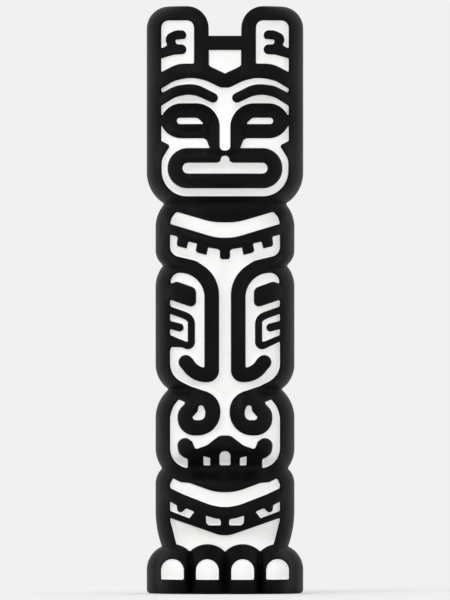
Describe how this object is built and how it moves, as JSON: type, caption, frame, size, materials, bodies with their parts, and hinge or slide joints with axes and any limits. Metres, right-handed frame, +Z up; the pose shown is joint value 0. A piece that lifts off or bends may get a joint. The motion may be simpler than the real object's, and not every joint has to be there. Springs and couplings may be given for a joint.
{
  "type": "totem pole",
  "caption": "Carved log totem pole: an eared head over a toothed collar, folded wings, a snout with spiral nostrils, and a clawed foot.",
  "frame": {"origin": "middle of the log's flat foot, on the surface that it stands on", "axes": "+Z up along the log, +X to the right as the carved front is seen, and the carved front faces -Y"},
  "size_m": [0.8, 0.7586, 3],
  "materials": {
    "painted_cedar": "carved cedar, black formlines on an off-white painted ground, matt"
  },
  "bodies": {
    "root": {"totem_pole": "painted_cedar"}
  },
  "joints": []
}
